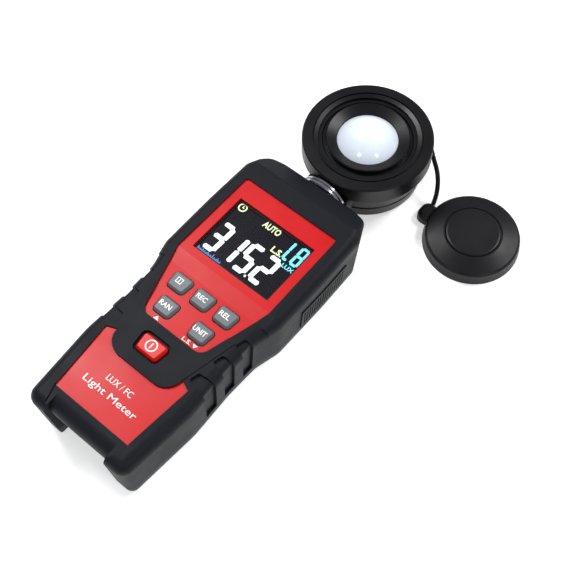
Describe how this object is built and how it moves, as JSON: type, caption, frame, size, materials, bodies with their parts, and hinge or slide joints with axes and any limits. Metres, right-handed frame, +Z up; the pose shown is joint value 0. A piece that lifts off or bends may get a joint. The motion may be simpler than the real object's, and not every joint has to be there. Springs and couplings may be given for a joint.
{
  "type": "handheld light meter",
  "caption": "Handheld light meter with a swivelling domed sensor head, colour display, rubber grip, push keys and a tethered sensor cap.",
  "frame": {"origin": "on the table under the middle of the meter (body and head together), on its centre line", "axes": "+X to the meter's right as seen from above, +Y along the meter towards the sensor head, +Z up out of the front face"},
  "size_m": [0.1085, 0.2023, 0.0309],
  "materials": {
    "overmold_rubber": "soft-touch satin",
    "red_shell": "satin",
    "black_plastic": "fine texture",
    "grey_key": "satin",
    "power_key": "satin",
    "window": "clear",
    "lcd_glass": "gloss",
    "backlight": "matte",
    "soft_black": "matte",
    "circuit_board": "satin",
    "chip": "matte",
    "steel": "brushed",
    "brass": "machined",
    "cell_wrap": "gloss",
    "red_wire": "satin",
    "black_wire": "satin",
    "connector": "matte",
    "collar_metal": "polished, dark anodised",
    "head_black": "satin",
    "dome_white": "glossy, translucent",
    "filter_glass": "polished",
    "photodiode_case": "gloss",
    "cap_black": "satin"
  },
  "bodies": {
    "housing": {"front_overmold": "overmold_rubber", "side_grip_left": "overmold_rubber", "side_grip_right": "overmold_rubber", "front_housing": "red_shell", "rear_housing": "black_plastic", "lcd_frame": "black_plastic", "display_window": "window", "lcd_panel": "lcd_glass", "lcd_backlight": "backlight", "lcd_contact_strip": "soft_black", "main_board": "circuit_board", "board_chips": "chip", "key_switches": "steel", "housing_screws": "steel", "board_screws": "steel", "tripod_insert": "brass", "battery_1": "cell_wrap", "battery_2": "cell_wrap", "battery_3": "cell_wrap", "battery_contacts": "steel", "battery_springs": "steel", "battery_lead_positive": "red_wire", "battery_lead_negative": "black_wire", "sensor_cable_tail": "black_wire", "sensor_connector": "connector", "neck_collar": "collar_metal", "neck_nut": "steel"},
    "battery_cover": {"battery_door": "black_plastic", "battery_door_screw": "steel"},
    "head": {"head_shell": "head_black", "head_bezel": "head_black", "light_cone": "head_black", "diffuser_dome": "dome_white", "color_filter": "filter_glass", "filter_holder": "head_black", "photodiode": "photodiode_case", "sensor_board": "circuit_board", "head_screws": "steel", "swivel_shaft": "steel", "stop_disc": "steel", "swivel_clip": "steel", "swivel_washer": "steel", "sensor_cable": "black_wire", "tether_anchor": "steel"},
    "cap": {"sensor_cap": "cap_black", "cap_tether": "soft_black"},
    "key_hold": {"key_hold": "grey_key"},
    "key_record": {"key_record": "grey_key"},
    "key_relative": {"key_relative": "grey_key"},
    "key_range": {"key_range": "grey_key"},
    "key_unit": {"key_unit": "grey_key"},
    "key_power": {"key_power": "power_key"}
  },
  "joints": [
    {"name": "key_hold_press", "type": "slide", "parent": "housing", "child": "key_hold", "axis": [0, 0, -1], "range_m": [0, 0.0008], "stiffness_N_per_m": 1000},
    {"name": "key_record_press", "type": "slide", "parent": "housing", "child": "key_record", "axis": [0, 0, -1], "range_m": [0, 0.0008], "stiffness_N_per_m": 1000},
    {"name": "key_relative_press", "type": "slide", "parent": "housing", "child": "key_relative", "axis": [0, 0, -1], "range_m": [0, 0.0008], "stiffness_N_per_m": 1000},
    {"name": "key_range_press", "type": "slide", "parent": "housing", "child": "key_range", "axis": [0, 0, -1], "range_m": [0, 0.0008], "stiffness_N_per_m": 1000},
    {"name": "key_unit_press", "type": "slide", "parent": "housing", "child": "key_unit", "axis": [0, 0, -1], "range_m": [0, 0.0008], "stiffness_N_per_m": 1000},
    {"name": "key_power_press", "type": "slide", "parent": "housing", "child": "key_power", "axis": [0, 0, -1], "range_m": [0, 0.0008], "stiffness_N_per_m": 1000},
    {"name": "battery_cover_release", "type": "slide", "parent": "housing", "child": "battery_cover", "axis": [0, 0, -1], "range_m": [0, 0.015]},
    {"name": "head_swivel", "type": "hinge", "parent": "housing", "child": "head", "pos_m": [0, 0.0423, 0.013], "axis": [0, 1, 0], "range_deg": [-90, 180]},
    {"name": "cap_swing", "type": "hinge", "parent": "head", "child": "cap", "pos_m": [0.01383, 0.09705, 0.015], "axis": [0, 0, 1], "range_deg": [0, 60]}
  ]
}
